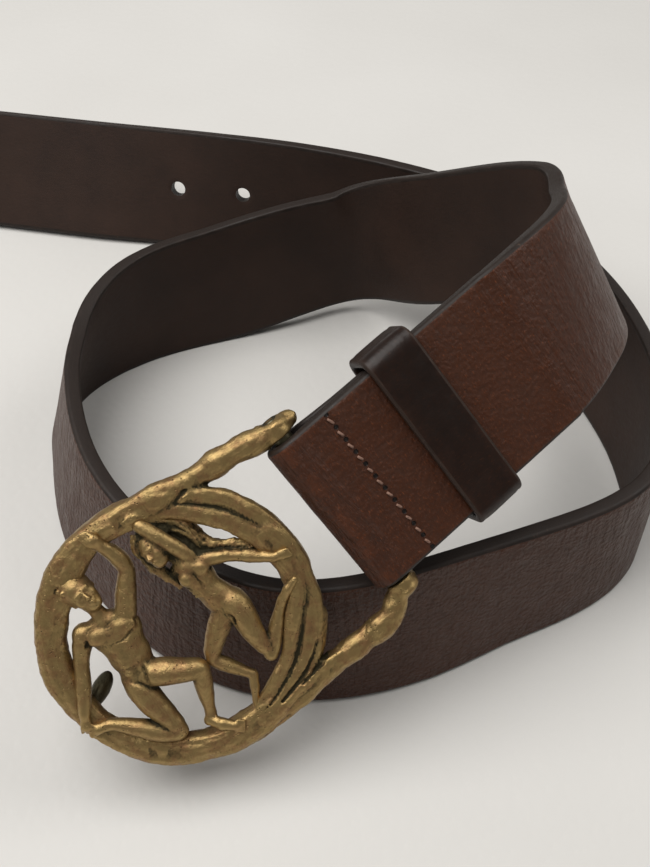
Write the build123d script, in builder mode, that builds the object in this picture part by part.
"""Cast openwork belt buckle, hinged in the sewn fold of a coiled leather strap with a sliding keeper.

All sizes are millimetres.  +Z is up and the strap stands on its lower edge on the plane Z = 0.
"""

import os
from math import cos, hypot, radians, sin

from build123d import *

# Strap leather.
STRAP_WIDTH = 40.0
STRAP_THICKNESS = 4.2
FOLD_THICKNESS = 2.8
TAIL_TIP = 48.0
TIP_ROUND = 16.0
HOLE_DIAMETER = 5.0
HOLE_COUNT = 2
HOLE_PITCH = 23.0
LAST_HOLE_TO_TIP = 166.0
SECTION_STEP = 9.0
EDGE_WEAR = 0.25

# Hinge bar and the leather fold round it.
BAR_RADIUS = 2.2
BAR_CLEARANCE = 0.08
BAR_LENGTH = 50.4
BAR_CHAMFER = 0.4
STRAIGHT_LENGTH = 56.0
FOLD_RADIUS = BAR_RADIUS + BAR_CLEARANCE + FOLD_THICKNESS
LINING_LEVEL = FOLD_RADIUS - STRAP_THICKNESS
POCKET_START = 1.0
POCKET_HALF = 2.0
POCKET_END = 7.5
TURN_BACK_START = 14.0
TURN_BACK_FLAT = 22.0
TURN_BACK_SKIVE = 0.4
TURN_BACK_END = 27.0

# Where the bar lies, and how the straight strap and the buckle lie about it.
BAR_CENTRE = Vector(65.4, -86.3, 57.7)
BAR_UP = Vector(-0.615, 0.405, 0.6775).normalized()
STRAP_LINE = Vector(0.745, 0.58, 0.33)
BUCKLE_LIFT = 13.7

# The strap's middle line past its straight start: x, y, z and the lean of its width, in degrees.
RAISED_STATIONS = [
    (120.0, -40.5, 78.5, -37.5),
    (128.5, -14.5, 70.0, -28.5),
    (124.0, 4.5, 62.0, -2.5),
    (92.5, 33.5, 38.0, 10.0),
    (71.0, 47.0, 25.3, 5.0),
    (51.0, 41.9, 23.1, 9.0),
]
# The same where its lower edge stands on the ground: x, y and lean.
STANDING_STATIONS = [
    (29.5, 35.0, 10.0),
    (6.5, 23.5, 3.0),
    (-12.0, -4.5, -16.0),
    (-11.0, -24.5, -14.5),
    (-2.0, -54.0, -13.5),
    (12.0, -74.0, -11.5),
    (51.5, -96.5, -8.5),
    (85.5, -91.0, -9.0),
    (108.0, -81.5, -5.0),
    (142.0, -61.5, -1.0),
    (150.0, -21.5, 5.5),
    (141.0, 14.0, 10.5),
    (119.5, 50.5, 2.0),
    (80.0, 73.5, 2.0),
    (29.5, 84.5, 15.0),
    (-16.0, 93.0, 27.0),
    (-61.0, 101.5, 28.0),
    (-105.0, 108.5, 28.0),
]

# Where the ring's centre lies in the buckle's frame: x towards the strap, y up along the bar, z outward.
RING_CENTRE = (-44.2, 0.9, 1.3)
RING_RADIUS = 28.4
RING_TUBE = 3.4

# Arms and figures, in the same directions from the ring's centre.
# Each chain has its middle level, its half depth and its joints (x, y, radius).
UPPER_ARM = (
    -0.5,
    2.6,
    [(7.4, 28.0, 3.0), (19.4, 25.7, 2.6), (35.4, 23.9, 2.7), (41.0, 23.0, 2.8), (44.2, 22.3, 2.6)],
)
LOWER_ARM = (
    -0.5,
    2.6,
    [(5.4, -28.6, 3.0), (19.4, -28.2, 2.9), (35.4, -28.2, 2.7), (41.2, -26.4, 2.7), (44.2, -24.1, 2.6)],
)
EYE_RADIUS = 3.7
EYE_LENGTH = 4.4
EYE_CENTRE = 23.2
KNEELING_HEAD = ((-11.1, 20.3, 1.2), 4.1)
KNEELING_CHAINS = [
    (0.8, 2.0, [(-11.4, 18.2, 1.9), (-11.8, 12.7, 2.4)]),
    (0.6, 3.2, [(-12.2, 10.1, 4.6), (-13.4, 2.1, 3.2), (-13.6, -2.9, 3.7)]),
    (0.2, 1.7, [(-16.2, 12.9, 2.3), (-20.8, 9.7, 1.9), (-30.6, -2.7, 1.7)]),
    (0.0, 1.7, [(-8.4, 10.3, 2.3), (0.0, 16.7, 2.0), (-1.2, 26.3, 1.7)]),
    (1.2, 2.2, [(-11.0, -3.1, 3.0), (-1.8, -9.1, 2.5), (-8.0, -19.9, 1.8), (-3.4, -25.7, 1.6)]),
    (0.4, 2.3, [(-16.0, -3.7, 3.1), (-14.4, -18.1, 2.7), (-28.0, -5.7, 1.7)]),
]
RECLINING_HEAD = ((8.8, 20.5, 0.9), 3.8)
RECLINING_CHAINS = [
    (0.4, 1.8, [(9.6, 17.3, 1.8), (10.8, 13.1, 2.1)]),
    (0.4, 2.8, [(11.6, 9.5, 3.5), (11.6, 4.3, 2.8), (12.0, -0.7, 3.4)]),
    (0.2, 1.6, [(14.0, 10.7, 1.9), (20.6, 6.9, 1.6), (28.8, 0.1, 1.7)]),
    (1.0, 2.0, [(14.0, -1.5, 2.9), (12.6, -17.1, 2.3), (20.2, -8.1, 1.6), (26.8, -5.5, 1.5)]),
    (0.0, 1.8, [(10.6, -3.1, 2.8), (1.4, -8.9, 2.1), (4.8, -18.1, 1.6), (1.4, -25.3, 1.5)]),
    (-0.6, 1.7, [(11.0, 23.7, 3.1), (15.2, 16.9, 2.9), (19.6, 9.6, 2.0)]),
    (-0.7, 1.5, [(4.8, 20.5, 2.3), (5.4, 13.9, 2.1), (8.2, 7.3, 1.4)]),
]

# Hook stud behind the ring's far side, for the strap's holes, placed from the ring's centre.
STUD_ROOT = (-29.2, -3.0, -2.8)
STUD_NECK = (-25.8, -1.8, -6.2)
STUD_HEAD_LENGTH = 7.4
STUD_SHANK_RADIUS = 1.5
STUD_HEAD_RADIUS = 2.1

# Keeper, in the straight strap's frame: x along the strap, y up along its width, z outward.
KEEPER_START = 21.8
KEEPER_LENGTH = 12.8
KEEPER_WALL = 2.0
KEEPER_OPENING = (41.8, 9.8)
KEEPER_OUTER_ROUND = 3.6
KEEPER_INNER_ROUND = 1.8
KEEPER_GAP = 0.3

# Sewing thread.
STITCH_RADIUS = 0.45
STITCH_END_RADIUS = 0.468
STITCH_LENGTH = 2.5
FOLD_STITCH_AT = 9.6
FOLD_STITCH_COUNT = 11
FOLD_STITCH_PITCH = 3.45
FOLD_BACK_LEVEL = -2.9
KEEPER_STITCH_COUNT = 3
KEEPER_STITCH_PITCH = 3.6


STRAP_RUN = (STRAP_LINE - BAR_UP * STRAP_LINE.dot(BAR_UP)).normalized()


def from_turned(angle):
    """The direction of the straight strap, turned about the bar by an angle in degrees."""
    return STRAP_RUN * cos(radians(angle)) + STRAP_RUN.cross(BAR_UP) * sin(radians(angle))


BUCKLE_RUN = from_turned(BUCKLE_LIFT)
buckle_out = BUCKLE_RUN.cross(BAR_UP)
strap_plane = Plane(origin=BAR_CENTRE, x_dir=STRAP_RUN, z_dir=STRAP_RUN.cross(BAR_UP))
buckle_plane = Plane(origin=BAR_CENTRE, x_dir=BUCKLE_RUN, z_dir=buckle_out)
ring_centre = buckle_plane.from_local_coords(Vector(*RING_CENTRE))
ring_plane = Plane(origin=ring_centre, x_dir=BUCKLE_RUN, z_dir=buckle_out)


def in_strap(x, y, z):
    """A point given in the straight strap's frame."""
    return strap_plane.from_local_coords(Vector(x, y, z))


def in_ring(x, y, z):
    """A point given from the ring's centre, in the buckle's directions."""
    return ring_plane.from_local_coords(Vector(x, y, z))


def standing_height(lean):
    """Height of the middle line where the strap's lower corner just presses on the ground."""
    return STRAP_WIDTH / 2 * cos(radians(lean)) + STRAP_THICKNESS / 2 * abs(sin(radians(lean))) - EDGE_WEAR


def width_direction(tangent, lean):
    """Unit vector up the strap's width, leaning sideways from the vertical by an angle in degrees."""
    up = (Vector(0, 0, 1) - tangent * tangent.Z).normalized()
    return up * cos(radians(lean)) + tangent.cross(up) * sin(radians(lean))


def smooth_value(values, index, part):
    """Catmull-Rom value between values[index] and values[index + 1]."""
    before = values[max(index - 1, 0)]
    start = values[index]
    end = values[index + 1]
    after = values[min(index + 2, len(values) - 1)]
    rise_in = (end - before) / 2
    rise_out = (after - start) / 2
    blend = 3 * part**2 - 2 * part**3
    bulge_in = part * (1 - part) ** 2
    bulge_out = part**2 * (part - 1)
    return start * (1 - blend) + end * blend + rise_in * bulge_in + rise_out * bulge_out


middle_level = FOLD_RADIUS - STRAP_THICKNESS / 2
start_lean = -BAR_UP.get_angle(width_direction(STRAP_RUN, 0))
straight_stations = (STRAIGHT_LENGTH / 2, STRAIGHT_LENGTH)
stations = [(*in_strap(along, 0, middle_level), start_lean) for along in straight_stations]
stations += RAISED_STATIONS
stations += [(x, y, standing_height(lean), lean) for x, y, lean in STANDING_STATIONS]
points = [Vector(x, y, z) for x, y, z, lean in stations]
leans = [lean for x, y, z, lean in stations]
middle_line = Spline(*points)
station_params = [middle_line.param_at_point(point) for point in points]


def strap_frame(param):
    """Plane across the strap at a parameter of its middle line: x up the width, z along the strap."""
    index = 0
    while index < len(points) - 2 and station_params[index + 1] <= param:
        index += 1
    span = station_params[index + 1] - station_params[index]
    lean = smooth_value(leans, index, (param - station_params[index]) / span)
    tangent = middle_line % param
    return Plane(origin=middle_line @ param, x_dir=width_direction(tangent, lean), z_dir=tangent)


def limb_outline(start, end):
    """Tapered outline from one (x, y, radius) joint to the next, round at the far end."""
    x0, y0, r0 = start
    x1, y1, r1 = end
    length = hypot(x1 - x0, y1 - y0)
    across_x = (y0 - y1) / length
    across_y = (x1 - x0) / length
    Polygon(
        (x0 + across_x * r0, y0 + across_y * r0),
        (x1 + across_x * r1, y1 + across_y * r1),
        (x1 - across_x * r1, y1 - across_y * r1),
        (x0 - across_x * r0, y0 - across_y * r0),
        align=None,
    )
    with Locations((x1, y1)):
        Circle(r1)


def cast_chain(level, half_depth, joints):
    """One cast limb or rod: a run of joints, standing half_depth to each side of its level."""
    with BuildSketch(ring_plane.offset(level)) as outline:
        with Locations(joints[0][:2]):
            Circle(joints[0][2])
        for start, end in zip(joints, joints[1:]):
            limb_outline(start, end)
    extrude(outline.sketch, amount=half_depth, both=True)


def stitch(centre, direction):
    """One short run of thread with rounded ends, centred at a point of the straight strap's frame."""
    middle = in_strap(*centre)
    with Locations(Plane(origin=middle, z_dir=direction)):
        Cylinder(STITCH_RADIUS, STITCH_LENGTH)
    for side in (-1, 1):
        with Locations(middle + direction * (side * STITCH_LENGTH / 2)):
            Sphere(STITCH_END_RADIUS)


# Strap: the sewn fold and the straight start, the coil, and the round-tipped tail with its holes.
fold_plane = Plane(origin=BAR_CENTRE, x_dir=STRAP_RUN, z_dir=-BAR_UP)
with BuildPart() as strap:
    with BuildSketch(fold_plane):
        with BuildLine():
            front = Line((STRAIGHT_LENGTH, FOLD_RADIUS), (0, FOLD_RADIUS))
            bend = ThreePointArc(front @ 1, (-FOLD_RADIUS, 0), (0, -FOLD_RADIUS))
            Polyline(
                bend @ 1,
                (TURN_BACK_START, LINING_LEVEL - FOLD_THICKNESS),
                (TURN_BACK_FLAT, LINING_LEVEL - FOLD_THICKNESS + TURN_BACK_SKIVE),
                (TURN_BACK_END, LINING_LEVEL),
                (STRAIGHT_LENGTH, LINING_LEVEL),
                front @ 0,
            )
        make_face()
        Circle(BAR_RADIUS + BAR_CLEARANCE, mode=Mode.SUBTRACT)
        with BuildLine():
            Polyline(
                (POCKET_START, POCKET_HALF),
                (POCKET_END, LINING_LEVEL),
                (POCKET_START, -POCKET_HALF),
                close=True,
            )
        make_face(mode=Mode.SUBTRACT)
    extrude(amount=STRAP_WIDTH / 2, both=True)
    coil_start = station_params[1]
    section_count = round((1 - coil_start) * middle_line.length / SECTION_STEP)
    section_gap = (1 - coil_start) / section_count
    section_params = [coil_start + section_gap * step for step in range(1, section_count + 1)]
    straight_end = Plane(origin=points[1], x_dir=BAR_UP, z_dir=STRAP_RUN)
    for frame in [straight_end] + [strap_frame(param) for param in section_params]:
        with BuildSketch(frame):
            Rectangle(STRAP_WIDTH, STRAP_THICKNESS)
    loft(ruled=True)
    tail_frame = strap_frame(1.0)
    tail_run = tail_frame.z_dir
    with BuildSketch(Plane(origin=tail_frame.origin, x_dir=tail_run, z_dir=tail_run.cross(tail_frame.x_dir))):
        Rectangle(TAIL_TIP - TIP_ROUND, STRAP_WIDTH, align=(Align.MIN, Align.CENTER))
        with Locations((TAIL_TIP - TIP_ROUND, 0)):
            Ellipse(TIP_ROUND, STRAP_WIDTH / 2)
    extrude(amount=STRAP_THICKNESS / 2, both=True)
    for index in range(HOLE_COUNT):
        from_end = LAST_HOLE_TO_TIP + index * HOLE_PITCH - TAIL_TIP
        frame = strap_frame(1 - from_end / middle_line.length)
        with Locations(Plane(origin=frame.origin, z_dir=frame.z_dir.cross(frame.x_dir))):
            Cylinder(HOLE_DIAMETER / 2, 3 * STRAP_THICKNESS, mode=Mode.SUBTRACT)
    split(bisect_by=Plane.XY, keep=Keep.TOP)

# Thread that closes the fold: one row in front and one behind.
with BuildPart() as fold_stitching:
    for index in range(FOLD_STITCH_COUNT):
        height = (index - (FOLD_STITCH_COUNT - 1) / 2) * FOLD_STITCH_PITCH
        stitch((FOLD_STITCH_AT, height, FOLD_RADIUS), BAR_UP)
        stitch((FOLD_STITCH_AT, height, FOLD_BACK_LEVEL), BAR_UP)

# Hinge bar: a plain round bar through the fold, held in the eyes of both arms.
with BuildPart() as hinge_bar:
    with Locations(Plane(origin=BAR_CENTRE, z_dir=BAR_UP)):
        Cylinder(BAR_RADIUS, BAR_LENGTH)
    chamfer(hinge_bar.edges().filter_by(GeomType.CIRCLE), BAR_CHAMFER)

# Ring frame: the cast ring and its two arms, which end in eyes for the bar.
with BuildPart() as ring_frame:
    with Locations(ring_plane):
        Torus(RING_RADIUS, RING_TUBE)
    cast_chain(*UPPER_ARM)
    cast_chain(*LOWER_ARM)
    for side in (-1, 1):
        eye_centre = buckle_plane.from_local_coords(Vector(0, side * EYE_CENTRE, 0))
        with Locations(Plane(origin=eye_centre, z_dir=BAR_UP)):
            Cylinder(EYE_RADIUS, EYE_LENGTH)
    with Locations(Plane(origin=BAR_CENTRE, z_dir=BAR_UP)):
        Cylinder(BAR_RADIUS, 2 * BAR_LENGTH, mode=Mode.SUBTRACT)

# Two cast figures, fixed inside the ring.
with BuildPart() as kneeling_figure:
    for chain in KNEELING_CHAINS:
        cast_chain(*chain)
    with Locations(in_ring(*KNEELING_HEAD[0])):
        Sphere(KNEELING_HEAD[1])

with BuildPart() as reclining_figure:
    for chain in RECLINING_CHAINS:
        cast_chain(*chain)
    with Locations(in_ring(*RECLINING_HEAD[0])):
        Sphere(RECLINING_HEAD[1])

# Hook stud: a slanted shank with a rounded head.
shank_foot = in_ring(*STUD_ROOT)
shank_top = in_ring(*STUD_NECK)
shank_run = (shank_top - shank_foot).normalized()
shank_length = (shank_top - shank_foot).length
from_foot = (Align.CENTER, Align.CENTER, Align.MIN)
with BuildPart() as hook_stud:
    with Locations(Plane(origin=shank_foot, z_dir=shank_run)):
        Cylinder(STUD_SHANK_RADIUS, shank_length, align=from_foot)
    with BuildSketch(Plane(origin=shank_top, x_dir=shank_run, z_dir=shank_run.cross(BAR_UP))):
        Ellipse(STUD_HEAD_LENGTH / 2, STUD_HEAD_RADIUS)
        Rectangle(2 * STUD_HEAD_LENGTH, STUD_HEAD_LENGTH, align=(Align.CENTER, Align.MAX), mode=Mode.SUBTRACT)
    revolve(axis=Axis(shank_top, shank_run))

# Keeper: a closed leather loop with room for two thicknesses of strap.
keeper_width, keeper_depth = KEEPER_OPENING
keeper_front = FOLD_RADIUS + KEEPER_GAP
keeper_centre = in_strap(KEEPER_START, 0, keeper_front - keeper_depth / 2)
with BuildPart() as keeper_loop:
    with BuildSketch(Plane(origin=keeper_centre, x_dir=BAR_UP, z_dir=STRAP_RUN)):
        RectangleRounded(keeper_width + 2 * KEEPER_WALL, keeper_depth + 2 * KEEPER_WALL, KEEPER_OUTER_ROUND)
        RectangleRounded(keeper_width, keeper_depth, KEEPER_INNER_ROUND, mode=Mode.SUBTRACT)
    extrude(amount=KEEPER_LENGTH)

# Thread that closes the keeper's butted ends, on its back.
keeper_back = keeper_front - keeper_depth - KEEPER_WALL
with BuildPart() as keeper_stitching:
    first_stitch = KEEPER_START + (KEEPER_LENGTH - (KEEPER_STITCH_COUNT - 1) * KEEPER_STITCH_PITCH) / 2
    for index in range(KEEPER_STITCH_COUNT):
        stitch((first_stitch + index * KEEPER_STITCH_PITCH, 0, keeper_back), BAR_UP)

strap.part.label = "strap"
fold_stitching.part.label = "fold_stitching"
hinge_bar.part.label = "hinge_bar"
ring_frame.part.label = "ring_frame"
kneeling_figure.part.label = "kneeling_figure"
reclining_figure.part.label = "reclining_figure"
hook_stud.part.label = "hook_stud"
keeper_loop.part.label = "keeper_loop"
keeper_stitching.part.label = "keeper_stitching"

os.makedirs("parts", exist_ok=True)
export_step(strap.part, "parts/strap.step")
export_step(fold_stitching.part, "parts/fold_stitching.step")
export_step(hinge_bar.part, "parts/hinge_bar.step")
export_step(ring_frame.part, "parts/ring_frame.step")
export_step(kneeling_figure.part, "parts/kneeling_figure.step")
export_step(reclining_figure.part, "parts/reclining_figure.step")
export_step(hook_stud.part, "parts/hook_stud.step")
export_step(keeper_loop.part, "parts/keeper_loop.step")
export_step(keeper_stitching.part, "parts/keeper_stitching.step")
